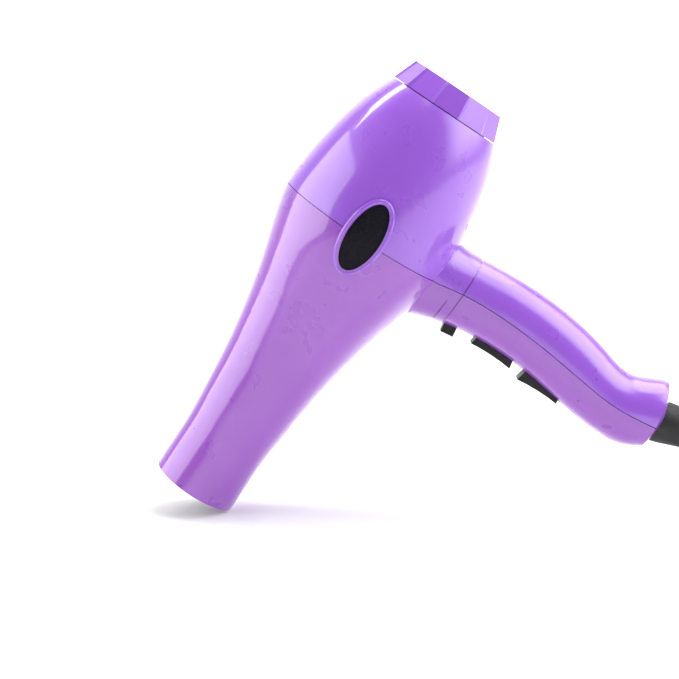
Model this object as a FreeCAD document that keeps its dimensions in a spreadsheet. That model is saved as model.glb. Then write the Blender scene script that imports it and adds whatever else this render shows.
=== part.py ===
import FreeCAD, Part
import math
import os
from types import SimpleNamespace

import Sketcher
from FreeCAD import Placement, Rotation, Vector

# A travel hair dryer: a cone-shaped barrel moulded as a front and a rear shell, whose halves also
# make the handle, with a fan, a heater, switches, a filter cap and a lead.
#
# Row frame: origin at the centre of the air outlet, +Z up, +X towards the handle's side, and the
# dryer's plane of symmetry at Y = 0. The barrel leans: its axis rises from the outlet at
# `barrel_elevation` degrees. Most pieces are drawn in the barrel's own frame, where
#     x runs from the barrel's axis towards the handle ("out"),
#     y is the row's Y, and
#     z runs along the barrel from the outlet to the rear ("along").
# The cord, its coil and its plug lie on the table and are drawn in the row frame.

DIMENSIONS = {
    # barrel
    "barrel_elevation": 56.56, "barrel_length": 199.0, "wall": 2.2, "spigot_radius": 19.5,
    "belly_radius": 39.9,
    "seam_along": 136.9, "seam_gap": 0.3, "lip_depth": 3.0, "lip_thickness": 0.9,
    # handle
    "handle_half_width": 14.3, "handle_end_radius": 30.0, "handle_end_out": 125.8,
    "handle_end_along": 135.8, "groove_depth": 0.6, "groove_width": 0.7, "collar_out": 50.0,
    "half_collar_out": 45.5,
    # badge on each side of the barrel
    "badge_along": 138.0, "badge_length": 31.5, "badge_height": 14.6, "badge_rim": 2.2,
    "badge_rim_stand": 0.9, "badge_depth": 1.0, "badge_crown": 0.3,
    # outlet and heater
    "grille_along": 6.0, "grille_thickness": 2.0, "grille_radius": 16.7, "grille_bar": 1.5,
    "sleeve_radius": 16.8, "sleeve_wall": 0.5, "sleeve_start": 14.0, "sleeve_end": 98.0,
    "mica_half_width": 13.0, "mica_thickness": 0.8, "mica_start": 20.0, "mica_end": 96.0,
    "wire_ring_radius": 13.7, "wire_radius": 0.5, "wire_pitch": 7.5, "wire_first": 30.0,
    # motor and fan
    "motor_radius": 14.0, "motor_wall": 1.2, "motor_front": 114.0, "motor_rear": 146.0,
    "shaft_radius": 1.0, "bearing_gap": 0.05, "armature_radius": 9.6, "magnet_inner": 10.2,
    "duct_inner": 31.0, "duct_wall": 1.6, "duct_front": 141.4, "duct_rear": 172.0,
    "fan_hub_radius": 9.0, "fan_tip_radius": 29.2, "fan_front": 152.0, "fan_rear": 166.0,
    "blade_thickness": 1.3, "vane_thickness": 1.4,
    # rear intake and filter cap
    "intake_along": 195.6, "intake_radius": 23.8, "intake_thickness": 2.4, "spigot_ring": 20.6,
    "cap_base": 199.4, "cap_top": 210.0, "cap_base_radius": 26.5, "cap_top_radius": 22.3,
    "cap_tooth": 0.8, "cap_wall": 1.6, "filter_radius": 19.6, "filter_along": 204.2,
    # rocker switches and the cold-shot button
    "rocker_half_length": 10.15, "rocker_half_width": 4.5, "rocker_stand": 3.0,
    "rocker_depth": 6.5, "rocker_pivot_depth": 3.6, "pin_radius": 1.0, "rocker_swing": 8.5,
    "opening_gap": 0.35, "heat_out": 76.25, "heat_along": 125.0, "speed_out": 101.5,
    "speed_along": 123.2, "speed_lean": 7.2, "shot_out": 54.45, "shot_along": 122.8,
    "shot_lean": -8.0, "shot_half_length": 2.95, "shot_half_width": 4.0, "shot_stand": 3.4,
    # screws, clamp and wiring inside the handle
    "screw_out": 121.5, "screw_radius": 1.45, "screw_head": 2.9, "boss_radius": 3.6,
    "clamp_out": 139.4, "clamp_spacing": 5.75, "lead_radius": 1.2, "lead_offset": 7.2,
    "lead_along": 142.0,
    # strain relief, cord, coil and plug
    "boot_out": 154.5, "boot_along": 138.65, "boot_lean": 17.0, "boot_radius": 9.45,
    "boot_tip_radius": 5.2, "boot_length": 55.0, "cord_diameter": 7.0, "table": -12.0,
    "coil_x": 296.0, "coil_y": 46.0, "coil_radius": 39.0, "coil_half_width": 10.5,
    "coil_height": 14.0, "coil_lift": 0.6, "tie_width": 8.0, "tie_thickness": 0.5,
    "plug_x": 288.0, "plug_y": -23.0, "plug_z": -5.1, "plug_length": 40.0,
    "plug_pin_radius": 2.4, "plug_pin_length": 19.0, "plug_pin_spacing": 19.0,
}

# The barrel's outside: distance along the axis and radius, from the outlet to the rear.
BARREL_OUTLINE = [(20, 19.5), (40, 20.9), (60, 22.9), (80, 26.1), (100, 30.5), (118, 35.6),
                  (130, 38.7), (138.7, 39.9), (150, 39.3), (165, 37.3), (177, 34.7), (188, 31.3),
                  (199, 26.2)]

# The handle's oval sections: distance out from the axis, front edge, rear edge and how much
# wider than the grip it is there. It flares where it joins the barrel.
HANDLE_SECTIONS = [(29, 112.6, 156.6, 4.2), (40, 118.9, 155.5, 2.0), (52, 122.4, 155.6, 0.7),
                   (72, 124.9, 157.0, 0.0), (96, 123.8, 156.0, 0.0), (118, 120.8, 151.8, 0.0),
                   (134, 119.6, 149.7, 0.1), (142, 119.9, 153.2, 0.4), (149, 122.0, 155.6, 0.6),
                   (160, 127.5, 159.0, 0.8)]

# Where the shells part: distance out from the axis and distance along it.
SEAM_LINE = [(38.5, 136.9), (57, 139.4), (80, 139.4), (98, 138.0), (116, 135.8), (134, 134.6),
             (152, 136.6), (170, 139.0)]

# The lead after the strain relief's tip, in the row frame. It sinks onto the coil's top layer,
# which it joins at its near side. The second list runs from the coil's lower layer to the plug.
CORD_ROUTE = [(281.1, 0.0, 8.4), (292.5, 0.0, 1.2), (304.8, 0.8, -0.9)]
TAIL_ROUTE = [(250.0, 46.0, -7.9), (250.0, 24.0, -8.3), (250.0, 3.4, -8.45), (255.0, -8.7, -8.3),
              (264.3, -18.0, -7.4), (275.6, -23.0, -6.0), (288.0, -23.0, -5.1)]

TIE_TURN = 30  # where the tie is round the coil, in degrees

# The filter cap's saw teeth: how many, where the first tip is and the turn each facet takes, in degrees.
CAP_TEETH, CAP_FIRST_TIP, CAP_FACET_TURN = 12, 12, 27

doc = FreeCAD.newDocument("travel_hair_dryer")
sheet = doc.addObject("Spreadsheet::Sheet", "Sizes")
for row, (name, number) in enumerate(DIMENSIONS.items(), start=1):
    sheet.set(f"A{row}", name)
    sheet.set(f"B{row}", str(number))
    sheet.setAlias(f"B{row}", name)
doc.recompute()


class Size:
    """A dimension: its number, and the sheet formula that the document works it out with."""

    def __init__(self, number, formula):
        self.number = number
        self.formula = formula

    def join(self, other, sign, number):
        return Size(number, f"({self.formula} {sign} {as_size(other).formula})")

    def __add__(self, other):
        return self.join(other, "+", self.number + as_size(other).number)

    def __sub__(self, other):
        return self.join(other, "-", self.number - as_size(other).number)

    def __mul__(self, factor):
        return self.join(factor, "*", self.number * factor)

    def __truediv__(self, factor):
        return self.join(factor, "/", self.number / factor)

    def __neg__(self):
        return Size(-self.number, f"(0 - {self.formula})")


def as_size(value):
    """A plain number as a Size, so that both can be added together."""
    if isinstance(value, Size):
        return value
    return Size(value, f"({value:.5f})")


D = SimpleNamespace(**{name: Size(float(sheet.get(name)), f"Sizes.{name}") for name in DIMENSIONS})
pieces = []

LEAN = 90.0 - D.barrel_elevation.number
ACROSS = Vector(0, 1, 0)
BARREL = Placement(Vector(0, 0, 0), Rotation(ACROSS, LEAN))
TABLE_FRAME = Placement()


def spot(out, along, lean=0.0):
    """The frame at a point of the barrel's plane of symmetry, turned by `lean` about Y."""
    return BARREL * Placement(Vector(out, 0, along), Rotation(ACROSS, lean))


# ---------------------------------------------------------------- sketches and features

def bind(target, prop, value):
    target.setExpression(prop, as_size(value).formula)


def new_body(name, frame=BARREL):
    """A sub-part made of PartDesign features, which stands in `frame`."""
    body = doc.addObject("PartDesign::Body", name)
    body.Label = name
    body.Placement = frame
    pieces.append(body)
    return body


def origin_feature(body, role):
    return next(item for item in body.Origin.OriginFeatures if item.Role == role)


def new_sketch(body, plane, height=0):
    """A sketch on one of the body's own planes, moved along the plane's normal by `height`."""
    made = body.newObject("Sketcher::SketchObject", body.Name + "_sketch")
    made.AttachmentSupport = [(origin_feature(body, plane), "")]
    made.MapMode = "FlatFace"
    bind(made, "AttachmentOffset.Base.z", height)
    return made


def hold_value(made, constraint, size):
    index = made.addConstraint(constraint)
    bind(made, f"Constraints[{index}]", size)


def hold_point(made, geometry, end, x, y):
    """Hold a point of the sketch at its distances from the sketch's origin."""
    for kind, size in (("DistanceX", x), ("DistanceY", y)):
        size = as_size(size)
        hold_value(made, Sketcher.Constraint(kind, -1, 1, geometry, end, size.number), size)


def draw_polygon(made, corners):
    """A closed outline of straight lines through `corners`."""
    corners = [(as_size(x), as_size(y)) for x, y in corners]
    first = made.GeometryCount
    count = len(corners)
    for (x1, y1), (x2, y2) in zip(corners, corners[1:] + corners[:1]):
        ends = Vector(x1.number, y1.number, 0), Vector(x2.number, y2.number, 0)
        made.addGeometry(Part.LineSegment(*ends), False)
    for index in range(count):
        following = first + (index + 1) % count
        made.addConstraint(Sketcher.Constraint("Coincident", first + index, 2, following, 1))
    for index, (x, y) in enumerate(corners):
        hold_point(made, first + index, 1, x, y)


def draw_rectangle(made, half_x, half_y, x=0, y=0):
    x, y, half_x, half_y = (as_size(value) for value in (x, y, half_x, half_y))
    draw_polygon(made, [(x - half_x, y - half_y), (x + half_x, y - half_y),
                        (x + half_x, y + half_y), (x - half_x, y + half_y)])


def draw_circle(made, radius, x=0, y=0):
    x, y, radius = (as_size(value) for value in (x, y, radius))
    circle = Part.Circle(Vector(x.number, y.number, 0), Vector(0, 0, 1), radius.number)
    geometry = made.addGeometry(circle, False)
    hold_value(made, Sketcher.Constraint("Radius", geometry, radius.number), radius)
    hold_point(made, geometry, 3, x, y)


def feature(body, kind, made=None):
    item = body.newObject("PartDesign::" + kind, f"{body.Name}_{kind}")
    if made is not None:
        item.Profile = made
    return item


def pad(body, made, length, midplane=False):
    item = feature(body, "Pad", made)
    bind(item, "Length", length)
    item.Midplane = midplane
    return item


def pocket(body, made, length):
    """A cut that reaches half of `length` to each side of the sketch."""
    item = feature(body, "Pocket", made)
    bind(item, "Length", length)
    item.Midplane = True
    return item


def turn(body, made, kind="Revolution"):
    """A full turn of the sketch about its vertical axis."""
    item = feature(body, kind, made)
    item.ReferenceAxis = (made, ["V_Axis"])
    item.Angle = 360
    return item


def around(body, item, count):
    """Repeat a feature `count` times about the body's Z axis."""
    pattern = body.newObject("PartDesign::PolarPattern", body.Name + "_pattern")
    pattern.Originals = [item]
    pattern.Axis = (origin_feature(body, "Z_Axis"), [""])
    pattern.Angle = 360
    pattern.Occurrences = count
    body.Tip = pattern
    return pattern


def turned_body(name, outline, frame=BARREL):
    """A round piece: `outline` gives its half section as (radius, height) points."""
    body = new_body(name, frame)
    made = new_sketch(body, "XZ_Plane")
    draw_polygon(made, outline)
    turn(body, made)
    return body


def tube_outline(inner, outer, start, end):
    return [(inner, start), (outer, start), (outer, end), (inner, end)]


def block_body(name, half_x, half_y, start, end, frame):
    """A rectangular piece that reaches from `start` to `end` along its frame's Z."""
    body = new_body(name, frame)
    made = new_sketch(body, "XY_Plane", start)
    draw_rectangle(made, half_x, half_y)
    pad(body, made, as_size(end) - start)
    return body


# ---------------------------------------------------------------- Part primitives and booleans

def named(kind, name, **links):
    item = doc.addObject(kind, name)
    for prop, value in links.items():
        setattr(item, prop, value)
    return item


def cut(name, base, tool):
    return named("Part::Cut", name, Base=base, Tool=tool)


def common(name, base, tool):
    return named("Part::Common", name, Base=base, Tool=tool)


def fuse(name, shapes):
    return named("Part::MultiFuse", name, Shapes=shapes)


def cylinder(name, radius, start, end, x=0, y=0):
    """A cylinder along the barrel's axis."""
    item = doc.addObject("Part::Cylinder", name)
    bind(item, "Radius", radius)
    bind(item, "Height", as_size(end) - start)
    bind(item, "Placement.Base.x", x)
    bind(item, "Placement.Base.y", y)
    bind(item, "Placement.Base.z", start)
    return item


def box(name, low, high, frame=None):
    """A box between two corners, in the barrel's frame or in another one."""
    item = doc.addObject("Part::Box", name)
    sides = [as_size(b) - a for a, b in zip(low, high)]
    for prop, side in zip(("Length", "Width", "Height"), sides):
        bind(item, prop, side)
    corner = Placement(Vector(*[as_size(value).number for value in low]), Rotation())
    item.Placement = frame * corner if frame else corner
    return item


def fixed_shape(name, shape):
    """A shape that only Part's own curves can draw. Its sizes come from the sheet."""
    item = doc.addObject("Part::Feature", name)
    item.Shape = shape
    return item


def finished(item, name, frame=BARREL):
    """Make a boolean's result a sub-part."""
    item.Label = name
    item.Placement = frame
    pieces.append(item)
    return item


def group(name, items, frame=BARREL):
    """Identical loose pieces that share one node."""
    made = doc.addObject("Part::Compound", name)
    made.Links = items
    return finished(made, name, frame)


# ---------------------------------------------------------------- shells

def barrel_form(name, inset, overrun=0.0):
    """The barrel's solid, `inset` inside its outer surface and `overrun` past both ends."""
    rear = D.barrel_length.number + overrun
    points = [Vector(radius - inset, 0, along) for along, radius in BARREL_OUTLINE]
    flank = Part.BSplineCurve()
    flank.interpolate(points, InitialTangent=Vector(0, 0, 1), FinalTangent=Vector(-0.5, 0, 0.87))
    spigot = D.spigot_radius.number - inset
    corners = [Vector(points[-1].x, 0, rear), Vector(0, 0, rear), Vector(0, 0, -overrun),
               Vector(spigot, 0, -overrun), points[0]]
    edges = [flank.toShape()]
    if overrun:
        edges.append(Part.makeLine(points[-1], corners[0]))
    edges += [Part.makeLine(a, b) for a, b in zip(corners, corners[1:])]
    face = Part.Face(Part.Wire(edges))
    return fixed_shape(name, face.revolve(Vector(0, 0, 0), Vector(0, 0, 1), 360))


def handle_form(name, inset):
    """The handle's solid: a loft through oval sections, closed by a domed end."""
    ovals = []
    for index, (out, front, rear, extra) in enumerate(HANDLE_SECTIONS):
        oval = doc.addObject("Part::Ellipse", f"{name}_oval_{index}")
        bind(oval, "MajorRadius", as_size((rear - front) / 2) - inset)
        bind(oval, "MinorRadius", D.handle_half_width + extra - inset)
        # the oval lies across the handle, with its long axis along the barrel
        facing = Rotation(Vector(0, 0, 1), Vector(0, 1, 0), Vector(-1, 0, 0))
        oval.Placement = Placement(Vector(out, 0, (front + rear) / 2), facing)
        ovals.append(oval)
    loft = named("Part::Loft", name + "_loft", Sections=ovals, Solid=True, Ruled=False)
    middle = Vector(D.handle_end_out.number, 0, D.handle_end_along.number)
    ball = doc.addObject("Part::Sphere", name + "_ball")
    bind(ball, "Radius", D.handle_end_radius - inset)
    ball.Placement = Placement(middle, Rotation())
    beyond = box(name + "_beyond", (D.handle_end_out + 12, -40, 90), (D.handle_end_out + 50, 40, 190))
    return cut(name, loft, cut(name + "_waste", beyond, ball))


def side_oval(name, grow, low_y, high_y):
    """An upright oval prism on the barrel's side, along Y, for the badge and its rim."""
    oval = doc.addObject("Part::Ellipse", name + "_edge")
    bind(oval, "MajorRadius", D.badge_length / 2 + grow)
    bind(oval, "MinorRadius", D.badge_height / 2 + grow)
    facing = Rotation(Vector(0, 0, 1), Vector(1, 0, 0), Vector(0, 1, 0))
    oval.Placement = Placement(Vector(0, low_y, D.badge_along.number), facing)
    return named("Part::Extrusion", name, Base=oval, Dir=Vector(0, 1, 0), DirMode="Custom",
                 LengthFwd=high_y - low_y, Solid=True)


def before_seam(name, shift):
    """Everything in front of the seam, moved along the barrel by `shift`."""
    line = [Vector(out, -60, along + shift) for out, along in SEAM_LINE]
    curve = Part.BSplineCurve()
    curve.interpolate(line, InitialTangent=Vector(1, 0, 0))
    far_out = line[-1].x
    start = Vector(-60, -60, line[0].z)
    corners = [line[-1], Vector(far_out, -60, -20), Vector(-60, -60, -20), start, line[0]]
    edges = [curve.toShape()] + [Part.makeLine(a, b) for a, b in zip(corners, corners[1:])]
    return fixed_shape(name, Part.Face(Part.Wire(edges)).extrude(Vector(0, 120, 0)))


def make_badges(recess_floor, crown):
    for side, name in ((-1, "badge_left"), (1, "badge_right")):
        low, high = sorted((side * 30, side * 45))
        prism = side_oval(name + "_prism", -D.opening_gap / 4, low, high)
        slab = cut(name + "_slab", common(name + "_outer", prism, crown), recess_floor)
        finished(slab, name)


def make_shells():
    """The front and rear shells, with the badge recesses, openings, bosses and grooves."""
    wall = D.wall.number
    outer_barrel = barrel_form("outer_barrel", 0.0)
    inner_barrel = barrel_form("inner_barrel", wall, 1.0)
    rim_form = barrel_form("rim_form", -D.badge_rim_stand.number)
    recess_floor = barrel_form("recess_floor", D.badge_depth.number)
    crown = barrel_form("crown_form", -D.badge_crown.number)
    outer_handle = handle_form("outer_handle", as_size(0))
    inner_handle = handle_form("inner_handle", D.wall)
    groove_form = handle_form("groove_form", D.groove_depth)

    rims = [common(f"rim_{low}", side_oval(f"rim_prism_{low}", D.badge_rim, low, low + 60), rim_form)
            for low in (-60, 0)]
    recesses = [cut(f"recess_{low}", side_oval(f"recess_prism_{low}", as_size(0), low, low + 60),
                    recess_floor) for low in (-60, 0)]
    collars = []
    for index, (out, last) in enumerate(((D.collar_out, 200), (D.half_collar_out, 133))):
        half = D.groove_width / 2
        slab = box(f"collar_slab_{index}", (out - half, -30, 100), (out + half, 30, last))
        collars.append(cut(f"collar_{index}", slab, groove_form))

    solid = fuse("outer_form", [outer_barrel, outer_handle] + rims)
    hollow = fuse("inner_form", [inner_barrel, inner_handle])

    # the handle screw's boss stands on the inside of both shells
    skin = cut("skin", solid, hollow)
    boss = cylinder("screw_boss", D.boss_radius, 118.5, 152.5, D.screw_out)
    walls = fuse("walls", [skin, common("trimmed_boss", boss, handle_form("boss_limit", as_size(1.0)))])

    openings = list(recesses) + collars
    for label, frame in (("heat", HEAT), ("speed", SPEED)):
        half_x = D.rocker_half_length + D.opening_gap * 2
        half_y = D.rocker_half_width + D.opening_gap
        openings.append(box(label + "_opening", (-half_x, -half_y, -6), (half_x, half_y, 5), frame))
    half_x = D.shot_half_length + D.opening_gap
    half_y = D.shot_half_width + D.opening_gap
    openings.append(box("shot_opening", (-half_x, -half_y, -6), (half_x, half_y, 6.5), SHOT_LOCAL))
    openings.append(cylinder("screw_shank_hole", D.screw_radius + 0.15, 115.0, 146.0, D.screw_out))
    openings.append(cylinder("screw_head_hole", D.screw_head + 0.3, 115.0, 123.7, D.screw_out))
    mouth = doc.addObject("Part::Cylinder", "boot_mouth")
    bind(mouth, "Radius", D.boot_radius + 0.2)
    mouth.Height = 20
    mouth.Placement = BOOT_LOCAL * Placement(Vector(0, 0, -10), Rotation())
    openings.append(mouth)
    shell = cut("shell", walls, fuse("openings", openings))

    gap = D.seam_gap.number
    front = common("front_half", shell, before_seam("front_region", -gap / 2))
    rear = cut("rear_half", shell, before_seam("rear_region", gap / 2))

    # the rear shell's lip reaches inside the front shell, open where the handle begins
    seam = D.seam_along.number
    inside = D.belly_radius.number - wall - 0.8
    thin = inside - D.lip_thickness.number
    start = seam - D.lip_depth.number
    lip_outline = [(thin, start), (inside, start), (inside, seam + 0.5), (inside + 1.6, seam + 0.5),
                   (inside + 1.6, seam + 4), (thin + 0.9, seam + 4), (thin, seam + 3)]
    points = [Vector(radius, 0, along) for radius, along in lip_outline]
    face = Part.Face(Part.makePolygon(points + points[:1]))
    ring = fixed_shape("lip_ring", face.revolve(Vector(0, 0, 0), Vector(0, 0, 1), 360))
    lip = cut("lip", ring, inner_handle)
    finished(front, "front_shell")
    finished(fuse("rear_with_lip", [rear, lip]), "rear_shell")
    make_badges(recess_floor, crown)


# ---------------------------------------------------------------- outlet and heater

def make_outlet_grille():
    body = turned_body("outlet_grille", tube_outline(D.grille_radius - 1.4, D.grille_radius,
                                                     D.grille_along, D.grille_along + 4))
    for radius in (4.0, 9.5):
        ring = new_sketch(body, "XY_Plane", D.grille_along)
        draw_circle(ring, as_size(radius))
        draw_circle(ring, as_size(radius) + D.grille_bar)
        pad(body, ring, D.grille_thickness)
        if radius == 4.0:
            spoke = new_sketch(body, "XY_Plane", D.grille_along)
            half = (D.grille_radius - 5.2) / 2
            draw_rectangle(spoke, half, D.grille_bar / 2, half + 4.5, 0)
            around(body, pad(body, spoke, D.grille_thickness), 8)


def make_heater():
    sleeve_inner = D.sleeve_radius - D.sleeve_wall
    turned_body("heater_sleeve", tube_outline(sleeve_inner, D.sleeve_radius, D.sleeve_start, D.sleeve_end))
    length = D.mica_end - D.mica_start
    middle = D.mica_start + length / 2
    # two mica plates cross: each is slotted over half of its length to take the other
    plates = (("mica_plate_upright", "XZ_Plane", -1), ("mica_plate_flat", "YZ_Plane", 1))
    for name, plane, slot_end in plates:
        body = new_body(name)
        plate = new_sketch(body, plane)
        draw_rectangle(plate, D.mica_half_width, length / 2, 0, middle)
        pad(body, plate, D.mica_thickness, True)
        slot = new_sketch(body, plane)
        reach = length / 4 + 0.2
        draw_rectangle(slot, D.mica_thickness / 2 + 0.05, reach, 0, middle + (reach - 0.1) * slot_end)
        pocket(body, slot, D.mica_thickness * 4)
    rings = []
    for index in range(9):
        ring = doc.addObject("Part::Torus", f"wire_turn_{index}")
        bind(ring, "Radius1", D.wire_ring_radius)
        bind(ring, "Radius2", D.wire_radius)
        bind(ring, "Placement.Base.z", D.wire_first + D.wire_pitch * index)
        rings.append(ring)
    group("heating_wire", rings)
    thermostat = turned_body("thermostat", [(0, 0), (4.2, 0), (4.2, 3), (3.2, 4), (0, 4)], spot(6.0, 24.0))
    thermostat.Placement = BARREL * Placement(Vector(6.0, 6.0, 24.0), Rotation())
    fuse_link = turned_body("thermal_fuse", [(0, 0), (0.4, 0), (0.4, 5), (1.8, 6), (1.8, 15), (0.4, 16),
                                             (0.4, 21), (0, 21)])
    fuse_link.Placement = BARREL * Placement(Vector(-4.5, -4.5, 28.0), Rotation())


# ---------------------------------------------------------------- motor and fan

def make_motor():
    bore = D.shaft_radius + D.bearing_gap
    inner = D.motor_radius - D.motor_wall
    front, rear = D.motor_front, D.motor_rear
    turned_body("motor_can", [(bore, front - 2), (3, front - 2), (3, front), (D.motor_radius, front),
                              (D.motor_radius, rear), (inner, rear), (inner, front + 1.4),
                              (bore, front + 1.4)])
    turned_body("motor_end_cap", [(bore, rear - 3), (3.2, rear - 3), (3.2, rear - 1.6),
                                  (inner - 0.05, rear - 1.6), (inner - 0.05, rear), (3.2, rear),
                                  (3.2, rear + 1.6), (bore, rear + 1.6)])
    magnets = []
    for turn_angle in (25, 205):
        outside = cylinder(f"magnet_outside_{turn_angle}", inner - 0.05, front + 5, rear - 6)
        inside = cylinder(f"magnet_inside_{turn_angle}", D.magnet_inner, front + 4, rear - 5)
        outside.Angle = 130
        outside.Placement.Rotation = Rotation(Vector(0, 0, 1), turn_angle)
        magnets.append(cut(f"magnet_{turn_angle}", outside, inside))
    group("motor_magnets", magnets)
    armature = turned_body("armature", [(D.shaft_radius, front + 5.5), (D.armature_radius, front + 5.5),
                                        (D.armature_radius, rear - 9), (3.6, rear - 9), (3.6, rear - 4),
                                        (D.shaft_radius, rear - 4)])
    slot = new_sketch(armature, "XY_Plane", front + 20)
    draw_rectangle(slot, 2.6, 0.8, 8.2, 0)
    around(armature, pocket(armature, slot, 60), 5)
    turned_body("motor_shaft", [(0, front - 4), (D.shaft_radius, front - 4),
                                (D.shaft_radius, D.fan_rear - 1), (0, D.fan_rear - 1)])


def make_fan():
    front, rear, hub = D.fan_front, D.fan_rear, D.fan_hub_radius
    body = turned_body("fan_impeller", [(D.shaft_radius, front - 2), (2.6, front - 2), (2.6, front),
                                        (hub, front), (hub, rear - 3), (hub - 3, rear),
                                        (D.shaft_radius, rear)])
    # a blade runs from the hub to the tip and its pitch grows shallower on the way out
    middle = (front + rear) / 2
    sections = []
    for radius, pitch, reach in ((hub - 0.6, 42.0, 7.0), (D.fan_tip_radius, 28.0, 8.5)):
        section = new_sketch(body, "YZ_Plane", radius)
        across, up = math.sin(math.radians(90 - pitch)), math.cos(math.radians(90 - pitch))
        half = D.blade_thickness / 2
        corners = []
        for end, side in ((-1, -1), (1, -1), (1, 1), (-1, 1)):
            corners.append((half * (-up * side) + across * end * reach,
                            middle + half * (across * side) + up * end * reach))
        draw_polygon(section, corners)
        sections.append(section)
    blade = feature(body, "AdditiveLoft", sections[0])
    blade.Sections = [(sections[1], [""])]
    blade.Ruled = True
    around(body, blade, 8)


def make_motor_mount():
    outer = D.duct_inner + D.duct_wall
    front, rear = D.duct_front, D.duct_rear
    flange = outer + 4.2
    body = turned_body("motor_mount", [(D.duct_inner, front), (flange, front), (flange, front + 1.6),
                                       (outer, front + 1.6), (outer, rear), (D.duct_inner, rear)])
    hub = new_sketch(body, "XZ_Plane")
    inner = D.motor_radius + 0.05
    draw_polygon(hub, tube_outline(inner, inner + 1.6, D.motor_front + 6, D.motor_rear + 2))
    vane = new_sketch(body, "XY_Plane", front)
    half = (D.duct_inner - inner - 0.4) / 2
    draw_rectangle(vane, half, D.vane_thickness / 2, inner + half + 0.8, 0)
    around(body, pad(body, vane, 8), 7)
    turn(body, hub)


def make_electronics():
    outline = tube_outline(as_size(1.8), as_size(12), as_size(105.5), as_size(107))
    board = turned_body("rectifier_board", outline)
    notch = new_sketch(board, "XY_Plane", 106)
    draw_rectangle(notch, 2, 1.5, 12, 0)
    around(board, pocket(board, notch, 10), 3)
    diodes = []
    for index in range(4):
        angle = math.radians(45 + 90 * index)
        across, aside = 8 * math.cos(angle), 8 * math.sin(angle)
        diodes.append(cylinder(f"diode_{index}", 1.4, 99.5, 105.5, across, aside))
    group("diodes", diodes)


# ---------------------------------------------------------------- rear intake, filter and cap

def make_intake():
    start = D.intake_along
    ring = D.spigot_ring
    top = start + D.intake_thickness
    body = turned_body("intake_grille", [(0, start), (D.intake_radius, start), (D.intake_radius, top - 0.6),
                                         (ring, top), (ring, D.cap_base + 4), (ring - 1.6, D.cap_base + 4),
                                         (ring - 1.6, top), (0, top)])
    slot = new_sketch(body, "XY_Plane", start)
    draw_rectangle(slot, 6.2, 1.2, 12.0, 0)
    around(body, pocket(body, slot, 12), 14)


def toothed_corners(tip, root):
    """Saw teeth round a circle: each is one flat facet from the root to the tip, then a short drop."""
    corners = []
    for index in range(CAP_TEETH):
        for radius, before_tip in ((root, CAP_FACET_TURN), (tip, 0)):
            angle = math.radians(CAP_FIRST_TIP + 360 / CAP_TEETH * index - before_tip)
            corners.append((radius * round(math.cos(angle), 6), radius * round(math.sin(angle), 6)))
    return corners


def make_filter_cap():
    body = new_body("filter_cap")
    sections = []
    for height, tip in ((D.cap_base, D.cap_base_radius), (D.cap_top, D.cap_top_radius)):
        section = new_sketch(body, "XY_Plane", height)
        draw_polygon(section, toothed_corners(tip, tip - D.cap_tooth))
        sections.append(section)
    shell = feature(body, "AdditiveLoft", sections[0])
    shell.Sections = [(sections[1], [""])]
    shell.Ruled = True
    trim = D.cap_tooth + D.cap_wall
    hollow = new_sketch(body, "XZ_Plane")
    ceiling = D.cap_top - D.cap_wall
    draw_polygon(hollow, [(0, D.cap_base - 1), (D.cap_base_radius - trim + 0.4, D.cap_base - 1),
                          (D.cap_top_radius - trim + 0.6, ceiling), (0, ceiling)])
    turn(body, hollow, "Groove")
    slot = new_sketch(body, "XY_Plane", D.cap_top)
    draw_rectangle(slot, 5.0, 1.1, 12.8, 0)
    around(body, pocket(body, slot, 8), 16)


def make_filter():
    low = D.filter_along
    body = turned_body("filter_frame", [(D.filter_radius - 1.6, low), (D.filter_radius, low),
                                        (D.filter_radius, low + 2), (D.filter_radius - 1.6, low + 2)])
    bar = new_sketch(body, "XY_Plane", low)
    draw_rectangle(bar, D.filter_radius - 0.8, 0.7)
    draw = pad(body, bar, 0.8)
    around(body, draw, 3).Angle = 180
    turned_body("filter_mesh", [(0, low + 0.9), (D.filter_radius - 1.65, low + 0.9),
                                (D.filter_radius - 1.65, low + 1.4), (0, low + 1.4)])


# ---------------------------------------------------------------- switches

def make_rocker(name, frame):
    """A rocker cap: a dished top that stands out of the handle, and a slot below for its post."""
    half, stand = D.rocker_half_length, D.rocker_stand
    body = new_body(name + "_rocker", frame)
    side = new_sketch(body, "XZ_Plane")
    profile = [(half, -stand), (half * 0.5, -stand + 0.45), (as_size(0), -stand + 0.6),
               (-half * 0.5, -stand + 0.45), (-half, -stand), (-half + 0.25, -stand + 1.4),
               (-half + 0.65, as_size(0.2)), (-half + 1.65, D.rocker_depth),
               (half - 1.65, D.rocker_depth), (half - 0.65, as_size(0.2)), (half - 0.25, -stand + 1.4)]
    draw_polygon(side, profile)
    pad(body, side, D.rocker_half_width * 2, True)
    slot = new_sketch(body, "XZ_Plane")
    draw_polygon(slot, [(-half - 1, 1.4), (half + 1, 1.4), (half + 1, D.rocker_depth + 1),
                        (-half - 1, D.rocker_depth + 1)])
    pocket(body, slot, as_size(4.8))
    bore = new_sketch(body, "XZ_Plane")
    draw_circle(bore, D.pin_radius + D.bearing_gap, 0, D.rocker_pivot_depth)
    pocket(body, bore, D.rocker_half_width * 4)


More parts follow.
